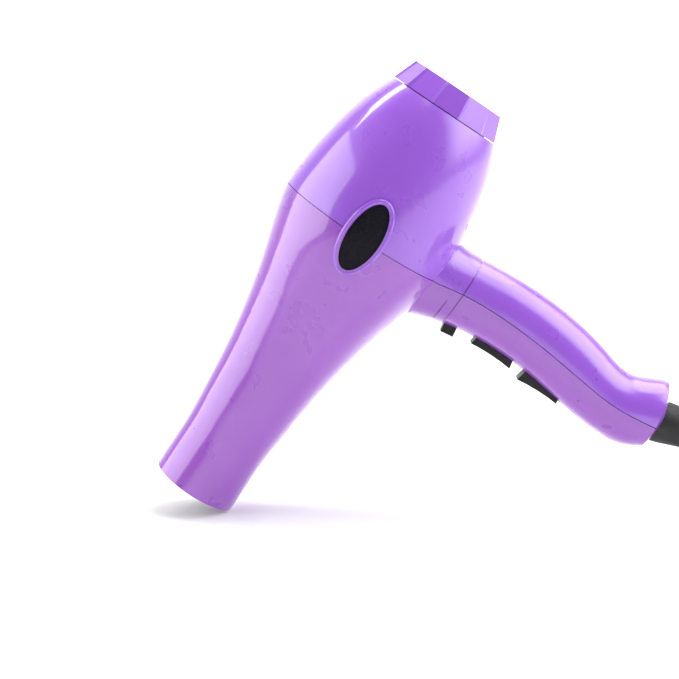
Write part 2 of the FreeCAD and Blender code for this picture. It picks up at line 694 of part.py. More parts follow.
def make_switch(name, frame):
    """The switch under a rocker: its case, the post that carries the rocker, and the pin."""
    case = new_body(name + "_switch", frame)
    side = new_sketch(case, "XZ_Plane")
    draw_rectangle(side, 8, 5, 0, 14.8)
    pad(case, side, 11, True)
    post = new_sketch(case, "XZ_Plane")
    draw_rectangle(post, 2.2, 3.9, 0, 6.3)
    pad(case, post, 4.0, True)
    hole = new_sketch(case, "XZ_Plane")
    draw_circle(hole, D.pin_radius, 0, D.rocker_pivot_depth)
    pocket(case, hole, 20)
    pin = new_body(name + "_rocker_pin", frame)
    section = new_sketch(pin, "XZ_Plane")
    draw_circle(section, D.pin_radius, 0, D.rocker_pivot_depth)
    pad(pin, section, D.rocker_half_width * 2 - 0.4, True)


def make_cold_shot():
    button = block_body("cold_shot_button", D.shot_half_length, D.shot_half_width, -D.shot_stand, 6.4, SHOT)
    flange = new_sketch(button, "XY_Plane", 5.0)
    draw_rectangle(flange, D.shot_half_length + 1.2, D.shot_half_width + 0.4)
    pad(button, flange, 1.4)
    block_body("cold_shot_switch", 5.0, 4.2, 9.2, 16.5, SHOT)


# ---------------------------------------------------------------- screws, clamp and wiring

def make_fixings():
    head = D.screw_head
    screw = turned_body("handle_screw", [(0, 121.4), (head, 121.4), (head, 123.7), (D.screw_radius, 123.7),
                                         (D.screw_radius, 144), (0, 145.4)])
    screw.Placement = spot(D.screw_out.number, 0)
    cross = new_sketch(screw, "XY_Plane", 121.4)
    draw_rectangle(cross, 1.7, 0.4)
    pocket(screw, cross, 2.4)
    plate = block_body("cord_clamp", 3.2, 8.0, 127.0, 129.4, spot(D.clamp_out.number, 0))
    holes = new_sketch(plate, "XY_Plane", 128)
    for side in (-1, 1):
        draw_circle(holes, 1.25, 0, D.clamp_spacing * side)
    pocket(plate, holes, 12)
    # the clamp closes on a seat across the back of the handle
    seat = block_body("clamp_seat", 3.2, 8.0, 139.1, 145.0, spot(D.clamp_out.number, 0))
    threads = new_sketch(seat, "XY_Plane", 142)
    for side in (-1, 1):
        draw_circle(threads, 1.15, 0, D.clamp_spacing * side)
    pocket(seat, threads, 10)
    screws = []
    for side in (-1, 1):
        y = D.clamp_spacing * side
        shank = cylinder(f"clamp_shank_{side}", 1.1, 126.9, 142.5, D.clamp_out, y)
        top = cylinder(f"clamp_head_{side}", 2.0, 125.9, 127.0, D.clamp_out, y)
        screws.append(fuse(f"clamp_screw_{side}", [shank, top]))
    group("clamp_screws", screws)
    for side, name in ((-1, "live_lead"), (1, "neutral_lead")):
        lead = new_body(name)
        section = new_sketch(lead, "YZ_Plane", 44)
        draw_circle(section, D.lead_radius, D.lead_offset * side, D.lead_along)
        pad(lead, section, 86)


def make_boot():
    """The tapered rubber strain relief, with a flange inside the handle's end."""
    length, tip = D.boot_length, D.boot_tip_radius
    body = turned_body("cord_boot", [(0, -9), (10.6, -9), (10.6, -7.2), (D.boot_radius, -7.2),
                                     (D.boot_radius, 2), (tip, length), (0, length)], BOOT)
    for index in range(5):
        groove = new_sketch(body, "XZ_Plane")
        height = 20 + 6.5 * index
        draw_rectangle(groove, 1.0, 0.8, D.boot_radius - 0.1 - (height - 2) * 0.0802, height)
        turn(body, groove, "Groove")
    cable = D.cord_diameter / 2
    turned_body("inner_cable", [(0, -28), (cable, -28), (cable, -9), (0, -9)], BOOT)


# ---------------------------------------------------------------- cord, coil and plug

def cord_tube(name, route):
    """A round tube of straight runs and tangent arcs along a hand-set route, in the row frame."""
    points = [Vector(*point) for point in route]
    edges = []
    start = points[0]
    for before, corner, after in zip(points, points[1:], points[2:]):
        into, out = corner - before, after - corner
        run = min(into.Length, out.Length)
        half_turn = into.getAngle(out) / 2
        trim = 0.45 * run
        bend = trim / math.tan(half_turn)
        into.normalize()
        out.normalize()
        first, last = corner - into * trim, corner + out * trim
        middle_way = (out - into).normalize()
        sagitta = bend * (1 / math.cos(half_turn) - 1)
        edges.append(Part.makeLine(start, first))
        edges.append(Part.Arc(first, corner + middle_way * sagitta, last).toShape())
        start = last
    edges.append(Part.makeLine(start, points[-1]))
    path = Part.Wire(edges)
    radius = D.cord_diameter.number / 2
    heading = points[1] - points[0]
    section = Part.Wire(Part.makeCircle(radius, points[0], heading))
    tube = path.makePipeShell([section], True, False)
    print(f"{name}: {path.Length:.1f} mm long")
    return finished(fixed_shape(name, tube), name, TABLE_FRAME)


def make_cord():
    tip = BOOT.multVec(Vector(0, 0, D.boot_length.number))
    cord_tube("power_cord", [tuple(tip)] + CORD_ROUTE)
    cord_tube("plug_lead", TAIL_ROUTE)
    centre = Vector(D.coil_x.number, D.coil_y.number, 0)
    low = D.table + D.coil_lift
    high = low + D.coil_height
    inner, outer = D.coil_radius - D.coil_half_width, D.coil_radius + D.coil_half_width
    corner = 3.0
    turned_body("cord_coil", [(inner + corner, low), (outer - corner, low), (outer, low + corner),
                              (outer, high - corner), (outer - corner, high), (inner + corner, high),
                              (inner, high - corner), (inner, low + corner)], Placement(centre, Rotation()))
    # the tie is a flat band round the coil's section, on the side away from the cord's ends
    band = Placement(centre, Rotation(Vector(0, 0, 1), TIE_TURN))
    tie = new_body("cord_tie", band)
    section = new_sketch(tie, "XZ_Plane")
    middle = low + D.coil_height / 2
    half_x, half_z = D.coil_half_width + 0.4, D.coil_height / 2 + 0.1
    draw_rectangle(section, half_x + D.tie_thickness, half_z + D.tie_thickness, D.coil_radius, middle)
    draw_rectangle(section, half_x, half_z, D.coil_radius, middle)
    pad(tie, section, D.tie_width, True)


def make_plug():
    """A moulded two-pin plug that lies on the table beside the coil."""
    frame = Placement(Vector(D.plug_x.number, D.plug_y.number, D.plug_z.number), Rotation())
    body = new_body("plug_body", frame)
    sections = []
    for along, half_y, half_z in ((0, 4.6, 4.6), (14, 6.0, 5.2), (24, 15.0, 6.6), (40, 17.2, 6.8)):
        section = new_sketch(body, "YZ_Plane", along)
        bevel = half_z * 0.45
        flat_y, flat_z = half_y - bevel, half_z - bevel
        draw_polygon(section, [(flat_y, -half_z), (half_y, -flat_z), (half_y, flat_z), (flat_y, half_z),
                               (-flat_y, half_z), (-half_y, flat_z), (-half_y, -flat_z),
                               (-flat_y, -half_z)])
        sections.append(section)
    moulding = feature(body, "AdditiveLoft", sections[0])
    moulding.Sections = [(section, [""]) for section in sections[1:]]
    moulding.Ruled = True
    pins = []
    along_x = Rotation(ACROSS, 90)
    for side in (-1, 1):
        pin = doc.addObject("Part::Cylinder", f"plug_pin_{side}")
        bind(pin, "Radius", D.plug_pin_radius)
        bind(pin, "Height", D.plug_pin_length)
        offset = D.plug_pin_spacing.number / 2 * side
        pin.Placement = Placement(Vector(D.plug_length.number, offset, 0), along_x)
        pins.append(pin)
    group("plug_pins", pins, frame)


# ---------------------------------------------------------------- assembly

def on_handle(out, along, lean):
    """A place in the barrel's frame, turned about the axis that runs across the handle."""
    return Placement(Vector(out.number, 0, along.number), Rotation(ACROSS, lean))


HEAT = on_handle(D.heat_out, D.heat_along, 0)
SPEED = on_handle(D.speed_out, D.speed_along, D.speed_lean.number)
SHOT_LOCAL = on_handle(D.shot_out, D.shot_along, D.shot_lean.number)
BOOT_LOCAL = on_handle(D.boot_out, D.boot_along, 90 - D.boot_lean.number)
SHOT = BARREL * SHOT_LOCAL
BOOT = BARREL * BOOT_LOCAL

make_shells()
make_outlet_grille()
make_heater()
make_motor()
make_fan()
make_motor_mount()
make_electronics()
make_intake()
make_filter_cap()
make_filter()

# the speed rocker rests with the end nearest the barrel standing out
pivot = Placement(Vector(0, 0, D.rocker_pivot_depth.number), Rotation())
tipped = pivot * Placement(Vector(), Rotation(ACROSS, -D.rocker_swing.number)) * pivot.inverse()
make_rocker("heat", BARREL * HEAT)
make_rocker("speed", BARREL * SPEED * tipped)
make_switch("heat", BARREL * HEAT)
make_switch("speed", BARREL * SPEED)
make_cold_shot()
make_fixings()
make_boot()
make_cord()
make_plug()
doc.recompute()

problems = []
for item in doc.Objects:
    if {"Invalid", "Error"} & set(item.State):
        problems.append(f"{item.Label}: {item.State}")
for piece in pieces:
    if piece.Shape.isNull() or not piece.Shape.isValid():
        problems.append(f"{piece.Label}: shape is null or not valid")
if problems:
    raise RuntimeError("; ".join(problems))

os.makedirs("parts", exist_ok=True)
for piece in pieces:
    piece.Shape.exportStep(f"parts/{piece.Label}.step")
    print(f"{piece.Label}: {len(piece.Shape.Solids)} solid, {piece.Shape.Volume:.0f} mm3")
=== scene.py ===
"""Studio scene of the travel hair dryer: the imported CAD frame, with its looks added."""
import math

import bmesh
import bpy
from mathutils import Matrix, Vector


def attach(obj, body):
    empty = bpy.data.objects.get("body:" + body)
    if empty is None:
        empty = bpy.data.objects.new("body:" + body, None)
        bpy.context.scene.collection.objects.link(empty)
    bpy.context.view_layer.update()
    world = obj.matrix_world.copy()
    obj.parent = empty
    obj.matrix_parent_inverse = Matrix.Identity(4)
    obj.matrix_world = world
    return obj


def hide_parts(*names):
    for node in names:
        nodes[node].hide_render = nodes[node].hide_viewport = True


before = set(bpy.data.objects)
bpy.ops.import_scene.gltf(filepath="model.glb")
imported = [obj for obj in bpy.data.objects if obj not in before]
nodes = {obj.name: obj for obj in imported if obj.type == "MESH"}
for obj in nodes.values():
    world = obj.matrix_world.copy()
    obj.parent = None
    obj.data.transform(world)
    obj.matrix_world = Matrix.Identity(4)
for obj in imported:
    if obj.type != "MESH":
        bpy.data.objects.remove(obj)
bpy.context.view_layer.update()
scene = bpy.context.scene
MM = 0.001

# ---------------------------------------------------------------- camera
FOCAL_PIXELS, IMAGE_PIXELS, SENSOR = 1649.15, 679, 36.0
CAMERA_PLACE = Vector((0.08777, -0.71691, 0.18506))
CAMERA_TURN, CAMERA_DIP = math.radians(1.84), math.radians(9.416)
CLIP_NEAR, CLIP_FAR = 0.05, 20


def make_camera():
    """The photograph's viewing angle: nearly square on, looking slightly down."""
    data = bpy.data.cameras.new("camera")
    data.sensor_width = SENSOR
    data.lens = FOCAL_PIXELS * SENSOR / IMAGE_PIXELS
    data.clip_start, data.clip_end = CLIP_NEAR, CLIP_FAR
    camera = bpy.data.objects.new("camera", data)
    scene.collection.objects.link(camera)
    forward = Vector((-math.sin(CAMERA_TURN) * math.cos(CAMERA_DIP),
                      math.cos(CAMERA_TURN) * math.cos(CAMERA_DIP),
                      -math.sin(CAMERA_DIP)))
    camera.location = CAMERA_PLACE
    camera.rotation_mode = "QUATERNION"
    camera.rotation_quaternion = forward.to_track_quat("-Z", "Y")
    scene.camera = camera


# ---------------------------------------------------------------- the mains lead
CORD_RADIUS, LEAD_LENGTH = 3.5 * MM, 1.55
BOOT_TIP = Vector((258.06, 0, 15.17)) * MM
BOOT_AXIS = Vector((0.9593, 0, -0.2823))
START_INSIDE_BOOT = 2 * MM
# The lead in mm: from the boot to the coil, round the coil, and from the coil to the plug.
LEAD_ROUTE = [(281.1, 0, 8.4), (292.5, 0, 1.2), (304.8, .8, -.9)]
TAIL_ROUTE = [(250, 36, -8.2), (250, 24, -8.4), (250, 3.4, -8.45), (255, -8.7, -8.3),
              (264.3, -18, -7.4), (275.6, -23, -6), (289, -23, -5.1)]
COIL_CENTRE = (296, 45.5)
COIL_TURNS, POINTS_PER_TURN, COIL_START = 5.75, 16, 270
OUTER_RADIUS, NEXT_RADIUS = 45.8, 38.9
LOWER_LAYER, UPPER_LAYER = -7.95, -.9
# The turns between which the lead steps a cord's width inwards, down a layer, and outwards again.
STEPS_IN = ((.82, 1.0), (1.82, 2.0))
STEP_DOWN = (2.85, 3.1)
STEPS_OUT = ((3.78, 3.92), (4.78, 4.92))
CURVE_ORDER, STEPS_PER_SPAN, ROUND_STEPS = 3, 8, 6


def ease(value, start, end):
    """0 before start, 1 after end and smooth between them."""
    x = min(1, max(0, (value - start) / (end - start)))
    return x * x * (3 - 2 * x)


def coil_points():
    """Three turns inwards on top, then three outwards below them, each turn ending in a short step."""
    # A curve of this order runs inside its points, so the points stand a little further out.
    spread = 1 / math.cos(math.pi / POINTS_PER_TURN)
    for i in range(1, int(COIL_TURNS * POINTS_PER_TURN) + 1):
        turn = i / POINTS_PER_TURN
        steps = sum(ease(turn, *step) for step in STEPS_OUT) - sum(ease(turn, *step) for step in STEPS_IN)
        radius = (OUTER_RADIUS + (OUTER_RADIUS - NEXT_RADIUS) * steps) * spread
        height = UPPER_LAYER + (LOWER_LAYER - UPPER_LAYER) * ease(turn, *STEP_DOWN)
        angle = math.radians(COIL_START + 360 * turn)
        yield (COIL_CENTRE[0] + radius * math.cos(angle),
               COIL_CENTRE[1] + radius * math.sin(angle), height)


def make_lead():
    """The mains lead as one smooth curve from the boot, through the tied coil, to the plug."""
    start = BOOT_TIP - BOOT_AXIS * START_INSIDE_BOOT
    route = [start] + [Vector(p) * MM for p in (*LEAD_ROUTE, *coil_points(), *TAIL_ROUTE)]
    curve = bpy.data.curves.new("mains_lead", "CURVE")
    curve.dimensions = "3D"
    spline = curve.splines.new("NURBS")
    spline.points.add(len(route) - 1)
    # Each point carries the thickness, over a bevel of 1, so that the bounds are measured right.
    for point, place in zip(spline.points, route):
        point.co = (*place, 1)
        point.radius = CORD_RADIUS
    spline.order_u = CURVE_ORDER
    spline.use_endpoint_u = True
    spline.resolution_u = STEPS_PER_SPAN
    curve.bevel_depth = 1
    curve.bevel_resolution = ROUND_STEPS
    curve.use_fill_caps = True
    lead = bpy.data.objects.new("mains_lead", curve)
    scene.collection.objects.link(lead)
    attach(lead, "housing")
    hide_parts("power_cord", "plug_lead", "cord_coil")
    return lead


make_camera()
lead = make_lead()


# ---------------------------------------------------------------- material kit
class Paint:
    """A node material on one Principled shader, with the few helpers that the materials share."""

    def __init__(self, name, **sockets):
        self.material = bpy.data.materials.new(name)
        self.material.use_nodes = True
        self.tree = self.material.node_tree
        self.shader = self.tree.nodes["Principled BSDF"]
        for socket, value in sockets.items():
            self.shader.inputs[socket.replace("_", " ")].default_value = value
        self.place = self.node("ShaderNodeTexCoord").outputs["Object"]
        self.normal = None

    def node(self, kind, **settings):
        made = self.tree.nodes.new(kind)
        for name, value in settings.items():
            setattr(made, name, value)
        return made

    def link(self, start, end):
        self.tree.links.new(start, end)

    def stretched(self, scale):
        """The object's own coordinates, scaled along each axis."""
        mapping = self.node("ShaderNodeMapping", vector_type="POINT")
        mapping.inputs["Scale"].default_value = scale
        self.link(self.place, mapping.inputs["Vector"])
        return mapping.outputs["Vector"]

    def noise(self, per_metre, detail=3.0, place=None, roughness=.5):
        made = self.node("ShaderNodeTexNoise")
        made.inputs["Scale"].default_value = per_metre
        made.inputs["Detail"].default_value = detail
        made.inputs["Roughness"].default_value = roughness
        self.link(place or self.place, made.inputs["Vector"])
        return made.outputs["Fac"]

    def cells(self, per_metre, place=None):
        """A random colour for each cell."""
        made = self.node("ShaderNodeTexVoronoi", feature="F1")
        made.inputs["Scale"].default_value = per_metre
        self.link(place or self.place, made.inputs["Vector"])
        return made.outputs["Color"]

    def bands(self, per_metre, axis, distortion=0.0):
        made = self.node("ShaderNodeTexWave", bands_direction=axis)
        made.inputs["Scale"].default_value = per_metre
        made.inputs["Distortion"].default_value = distortion
        self.link(self.place, made.inputs["Vector"])
        return made.outputs["Fac"]

    def ramp(self, value, *stops):
        """A colour ramp through (position, colour) stops."""
        made = self.node("ShaderNodeValToRGB")
        elements = made.color_ramp.elements
        while len(elements) < len(stops):
            elements.new(.5)
        for element, (position, colour) in zip(elements, stops):
            element.position = position
            element.color = (*colour, 1)
        self.link(value, made.inputs["Fac"])
        return made.outputs["Color"]

    def mapped(self, value, low, high, start=.3, end=.7):
        """Carries the range from start to end over to low to high."""
        made = self.node("ShaderNodeMapRange")
        for socket, number in zip(("From Min", "From Max", "To Min", "To Max"),
                                  (start, end, low, high)):
            made.inputs[socket].default_value = number
        self.link(value, made.inputs["Value"])
        return made.outputs["Result"]

    def colour(self, value, *stops):
        self.link(self.ramp(value, *stops), self.shader.inputs["Base Color"])

    def roughness(self, value, low, high):
        self.link(self.mapped(value, low, high), self.shader.inputs["Roughness"])

    def rounded(self, radius):
        """Softens the sharp edges of a CAD solid, as a mould or a press leaves them."""
        made = self.node("ShaderNodeBevel", samples=4)
        made.inputs["Radius"].default_value = radius
        self.normal = made.outputs["Normal"]
        self.link(self.normal, self.shader.inputs["Normal"])

    def bump(self, height, strength, distance):
        made = self.node("ShaderNodeBump")
        made.inputs["Strength"].default_value = strength
        made.inputs["Distance"].default_value = distance
        self.link(height, made.inputs["Height"])
        if self.normal:
            self.link(self.normal, made.inputs["Normal"])
        self.normal = made.outputs["Normal"]
        self.link(self.normal, self.shader.inputs["Normal"])


# ---------------------------------------------------------------- materials
def gloss_plastic(name, dark, light):
    """Polished coloured moulding: faint flow marks in the colour and a trace of orange peel."""
    paint = Paint(name, Coat_Weight=1.0, Coat_Roughness=.03, IOR=1.55)
    paint.colour(paint.noise(28, 2), (.35, dark), (.65, light))
    paint.roughness(paint.noise(90, 2), .27, .3)
    paint.bump(paint.noise(60, 1), .02, .02 * MM)
    return paint.material


def badge_plastic():
    """Piano black inlay with a trace of metal flake under the lacquer."""
    paint = Paint("badge_black", Coat_Weight=.05, Coat_Roughness=.02, Specular_IOR_Level=.02)
    paint.rounded(.3 * MM)
    paint.colour(paint.cells(5200), (.2, (.004, .004, .006)), (.95, (.022, .02, .028)))
    paint.roughness(paint.noise(600, 4), .1, .2)
    paint.bump(paint.noise(300, 2), .04, .04 * MM)
    return paint.material


def textured_plastic(name, dark, light, rough=(.36, .5), grain=2600, radius=.35):
    """Spark-eroded moulding: a fine grain, slightly polished where the grain stands up."""
    paint = Paint(name, IOR=1.48, Specular_IOR_Level=.32)
    paint.rounded(radius * MM)
    grain_height = paint.noise(grain, 3, roughness=.6)
    paint.colour(grain_height, (.35, dark), (.7, light))
    paint.roughness(grain_height, rough[1], rough[0])
    paint.bump(grain_height, .35, .05 * MM)
    return paint.material


def rubber(name, dark, light):
    """Matte soft plastic with a bloom in patches and a fine skin."""
    paint = Paint(name, IOR=1.45)
    paint.rounded(.25 * MM)
    paint.colour(paint.noise(130, 5), (.3, dark), (.75, light))
    paint.roughness(paint.noise(520, 3), .5, .68)
    paint.bump(paint.noise(3200, 3), .3, .04 * MM)
    return paint.material


def lead_jacket():
    """Round PVC jacket: a satin skin with the slight lay of the cores showing through."""
    paint = Paint("lead_jacket", IOR=1.46)
    paint.colour(paint.noise(160, 4), (.3, (.008, .008, .009)), (.75, (.022, .022, .024)))
    paint.roughness(paint.noise(700, 3), .38, .55)
    paint.bump(paint.noise(260, 2), .25, .12 * MM)
    return paint.material


def drawn_metal(name, dark, light, rough=(.22, .4), along=(60, 60, 1400)):
    """Drawn or turned metal: fine lines one way and a little tarnish."""
    paint = Paint(name, Metallic=1.0)
    paint.rounded(.2 * MM)
    lines = paint.noise(1, 4, place=paint.stretched(along))
    paint.colour(paint.noise(180, 4), (.3, dark), (.7, light))
    paint.roughness(lines, *rough)
    paint.bump(lines, .12, .03 * MM)
    return paint.material


def zinc_plate():
    """Plated motor can with faint crystal spangles."""
    paint = Paint("zinc_plate", Metallic=1.0)
    paint.rounded(.25 * MM)
    spangle = paint.cells(420)
    paint.colour(spangle, (.1, (.34, .35, .36)), (.9, (.56, .57, .58)))
    paint.roughness(paint.noise(800, 3), .28, .45)
    paint.bump(spangle, .08, .03 * MM)
    return paint.material


def ferrite():
    """Sintered magnet: dull dark grains with glints."""
    paint = Paint("ferrite", Metallic=.25)
    paint.rounded(.3 * MM)
    grain = paint.cells(3800)
    paint.colour(grain, (.1, (.018, .018, .02)), (.95, (.09, .09, .1)))
    paint.roughness(grain, .55, .8)
    paint.bump(grain, .3, .05 * MM)
    return paint.material


def winding_copper():
    """Enamelled wire wound in close turns."""
    paint = Paint("winding_copper", Metallic=1.0, Coat_Weight=.6, Coat_Roughness=.12)
    paint.colour(paint.noise(240, 3), (.3, (.44, .14, .05)), (.7, (.72, .27, .1)))
    turns = paint.bands(420, "Z", 1.2)
    paint.roughness(paint.noise(900, 2), .25, .4)
    paint.bump(turns, .5, .12 * MM)
    return paint.material


def mica():
    """Pressed mica board: pale layered flakes with a pearly sheen."""
    paint = Paint("mica", IOR=1.56, Sheen_Weight=.3)
    paint.rounded(.1 * MM)
    flakes = paint.cells(520, place=paint.stretched((1, 1, .4)))
    paint.colour(flakes, (.1, (.34, .27, .18)), (.9, (.62, .55, .43)))
    paint.roughness(paint.noise(600, 4), .3, .55)
    paint.bump(flakes, .25, .05 * MM)
    return paint.material


def circuit_board():
    """Phenolic board with its woven filler showing through."""
    paint = Paint("circuit_board", Coat_Weight=.3, Coat_Roughness=.2)
    paint.rounded(.1 * MM)
    weave = paint.node("ShaderNodeMath", operation="MULTIPLY")
    paint.link(paint.bands(260, "X", .4), weave.inputs[0])
    paint.link(paint.bands(260, "Y", .4), weave.inputs[1])
    paint.colour(weave.outputs[0], (.1, (.12, .075, .02)), (.9, (.23, .15, .05)))
    paint.roughness(paint.noise(500, 3), .35, .5)
    paint.bump(weave.outputs[0], .2, .04 * MM)
    return paint.material


def floor_paper():
    """Plain white studio paper with a barely visible tooth."""
    paint = Paint("floor_paper", Specular_IOR_Level=.15)
    paint.colour(paint.noise(60, 4), (.3, (.84, .84, .845)), (.7, (.86, .86, .865)))
    paint.roughness(paint.noise(900, 3), .85, .95)
    paint.bump(paint.noise(700, 3), .05, .1 * MM)
    return paint.material


PURPLE_DARK, PURPLE_LIGHT = (.272, .082, .585), (.28, .086, .6)
# The front shell gets a darker, pinker copy of the rear's purple: painted shade, with a painted reflection
# of the white floor.
FRONT_SHADED_DARK, FRONT_SHADED_LIGHT = (.28, .066, .475), (.288, .07, .488)

rear_purple = gloss_plastic("rear_purple", PURPLE_DARK, PURPLE_LIGHT)
front_shaded_purple = gloss_plastic("front_shaded_purple", FRONT_SHADED_DARK, FRONT_SHADED_LIGHT)
badge_black = badge_plastic()
black_plastic = textured_plastic("black_plastic", (.006, .006, .007), (.018, .018, .02))
grey_plastic = textured_plastic("grey_plastic", (.05, .052, .056), (.09, .092, .098))
black_rubber = rubber("black_rubber", (.006, .006, .006), (.02, .02, .021))
jacket = lead_jacket()
steel = drawn_metal("bright_steel", (.42, .42, .43), (.6, .6, .61))
brass = drawn_metal("brass", (.52, .36, .12), (.78, .58, .24), rough=(.18, .36))
heating_alloy = drawn_metal("heating_alloy", (.28, .25, .22), (.44, .4, .36), rough=(.3, .5))
zinc = zinc_plate()
magnet = ferrite()
copper = winding_copper()
mica_board = mica()
board = circuit_board()
brown_sleeve = textured_plastic("brown_sleeve", (.06, .025, .01), (.11, .045, .018), grain=1400)
blue_sleeve = textured_plastic("blue_sleeve", (.01, .04, .2), (.02, .075, .34), grain=1400)

SLOT_LOOKS = {"shell": rear_purple, "badge": badge_black, "black_plastic": black_plastic,
              "grey_plastic": grey_plastic, "rubber": black_rubber, "cord": jacket,
              "steel": steel, "motor_steel": zinc, "magnet": magnet, "copper": copper,
              "brass": brass, "mica": mica_board, "board": board, "mesh": steel,
              "insulation_brown": brown_sleeve, "insulation_blue": blue_sleeve}
NODE_LOOKS = {"front_shell": front_shaded_purple, "heating_wire": heating_alloy}


def dress_nodes():
    """Gives every CAD node its own look, or else the look of its material slot."""
    for name, obj in nodes.items():
        slots = [s.material.name if s.material else "" for s in obj.material_slots]
        look = NODE_LOOKS.get(name) or next(
            (look for slot, look in SLOT_LOOKS.items() if any(slot == s.split(".")[0] for s in slots)),
            grey_plastic)
        if not obj.material_slots:
            obj.data.materials.append(look)
        for slot in obj.material_slots:
            slot.material = look


SOFT_EDGES = {"heat_rocker": .6, "speed_rocker": .6, "cold_shot_button": .6, "plug_body": 1.6,
              "cord_tie": .2, "plug_pins": .3}
EDGE_SEGMENTS, SHARPEST_SMOOTH = 3, math.radians(28)


def soften_edges():
    """Rounds the moulded edges of the small CAD parts that fingers touch."""
    for name, width in SOFT_EDGES.items():
        bevel = nodes[name].modifiers.new("moulded_edges", "BEVEL")
        bevel.width = width * MM
        bevel.segments = EDGE_SEGMENTS
        bevel.limit_method = "ANGLE"
        bevel.angle_limit = SHARPEST_SMOOTH
        bevel.harden_normals = True


# ---------------------------------------------------------------- places in the barrel's frame
ELEVATION = math.radians(56.56)
AXIS = Vector((math.cos(ELEVATION), 0, math.sin(ELEVATION)))
TO_HANDLE = Vector((math.sin(ELEVATION), 0, -math.cos(ELEVATION)))
ACROSS = Vector((0, 1, 0))
# The outside of the barrel near the badge: distance along the axis, and radius, in mm.
BARREL_OUTLINE = [(100, 30.5), (118, 35.6), (130, 38.7), (138.7, 39.9), (150, 39.3), (165, 37.3)]


def barrel_point(along, out, across):
    """A point from its distances along the barrel's axis, towards the handle and across, in mm."""
    return (AXIS * along + TO_HANDLE * out + ACROSS * across) * MM


def barrel_radius(along):
    """The barrel's outside radius between the outline's points, on a smooth curve through them."""
    for i in range(1, len(BARREL_OUTLINE) - 2):
        (u0, r0), (u1, r1), (u2, r2), (u3, r3) = BARREL_OUTLINE[i - 1:i + 3]
        if along <= u2:
            break
    x = (along - u1) / (u2 - u1)
    slope1, slope2 = (r2 - r0) / (u2 - u0) * (u2 - u1), (r3 - r1) / (u3 - u1) * (u2 - u1)
    return (r1 * (1 + 2 * x) * (1 - x) ** 2 + slope1 * x * (1 - x) ** 2
            + r2 * x * x * (3 - 2 * x) + slope2 * x * x * (x - 1))


def add_piece(name, mesh, look, body="housing", stands_for=()):
    """Puts a finished bmesh into the scene as one smooth piece that rides on a CAD body."""
    bmesh.ops.recalc_face_normals(mesh, faces=mesh.faces)
    for face in mesh.faces:
        face.smooth = True
    data = bpy.data.meshes.new(name)
    mesh.to_mesh(data)
    mesh.free()
    piece = bpy.data.objects.new(name, data)
    scene.collection.objects.link(piece)
    data.materials.append(look)
    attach(piece, body)
    if stands_for:
        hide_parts(*stands_for)


def sweep(mesh, path, frames, profile, closed):
    """Skins a profile of (side, up) offsets along a path, with a (side, up) pair of axes at each point."""
    rings = [[mesh.verts.new(point + side * x + up * y) for x, y in profile]
             for point, (side, up) in zip(path, frames)]
    pairs = zip(rings, rings[1:] + rings[:1]) if closed else zip(rings, rings[1:])
    for ring, following in pairs:
        for i in range(len(profile)):
            j = (i + 1) % len(profile)
            mesh.faces.new((ring[i], ring[j], following[j], following[i]))
    if not closed:
        mesh.faces.new(reversed(rings[0]))
        mesh.faces.new(rings[-1])


# ---------------------------------------------------------------- badge rims
BADGE_ALONG, BADGE_LENGTH, BADGE_HEIGHT = 138, 31.5, 14.6
BEAD_HALF_WIDTH, BEAD_HEIGHT, BEAD_STEPS = 1.15, 1.2, 128
# The bead's section is a half oval that goes on below the shell's surface on both sides.
SECTION_STEPS, SECTION_SPAN, SECTION_START = 12, 1.3, -.15


def make_badge_rim(name, side):
    """A rounded bead that follows the badge's oval over the curved side of the barrel."""
    path, frames = [], []
    for i in range(BEAD_STEPS):
        turn = 2 * math.pi * i / BEAD_STEPS
        along = BADGE_ALONG + (BADGE_LENGTH / 2 + BEAD_HALF_WIDTH) * math.cos(turn)
        out = (BADGE_HEIGHT / 2 + BEAD_HALF_WIDTH) * math.sin(turn)
        across = math.sqrt(barrel_radius(along) ** 2 - out ** 2) * side
        path.append(barrel_point(along, out, across))
        up = (TO_HANDLE * out + ACROSS * across).normalized()
        normal = (AXIS * math.cos(turn) / BADGE_LENGTH + TO_HANDLE * math.sin(turn) / BADGE_HEIGHT)
        frames.append(((normal - up * normal.dot(up)).normalized(), up))
    profile = []
    for i in range(SECTION_STEPS + 1):
        turn = math.pi * (i / SECTION_STEPS * SECTION_SPAN + SECTION_START)
        profile.append((BEAD_HALF_WIDTH * MM * math.cos(turn), BEAD_HEIGHT * MM * math.sin(turn)))
    mesh = bmesh.new()
    sweep(mesh, path, frames, profile, True)
    add_piece(name, mesh, rear_purple)


# ---------------------------------------------------------------- heating wire
COIL_ALONG, COIL_PITCH, WIRE_TURNS = 30, 7.5, 8.5
WIRE_RADIUS, WIRE_RING, WIRE_SIDES, WIRE_STEPS = .45, 13.75, 6, 240
CRIMP, CRIMPS_PER_TURN = .16, 30


def make_heating_coil():
    """Crimped resistance wire wound round the mica cross."""
    path, frames = [], []
    for i in range(int(WIRE_TURNS * WIRE_STEPS)):
        turn = 2 * math.pi * i / WIRE_STEPS
        radius = WIRE_RING + CRIMP * math.sin(CRIMPS_PER_TURN * turn)
        along = COIL_ALONG + COIL_PITCH * turn / (2 * math.pi)
        outward = TO_HANDLE * math.cos(turn) + ACROSS * math.sin(turn)
        path.append(AXIS * along * MM + outward * radius * MM)
        frames.append((outward, AXIS))
    ring = [(WIRE_RADIUS * MM * math.cos(a), WIRE_RADIUS * MM * math.sin(a))
            for a in (2 * math.pi / WIRE_SIDES * k for k in range(WIRE_SIDES))]
    mesh = bmesh.new()
    sweep(mesh, path, frames, ring, False)
    add_piece("heating_coil", mesh, heating_alloy, stands_for=("heating_wire",))


# ---------------------------------------------------------------- woven intake filter
WEAVE_ALONG, WEAVE_RADIUS, WEAVE_PITCH, WEAVE_WIRE, WEAVE_SIDES = 205.35, 17.9, 1.25, .17, 4


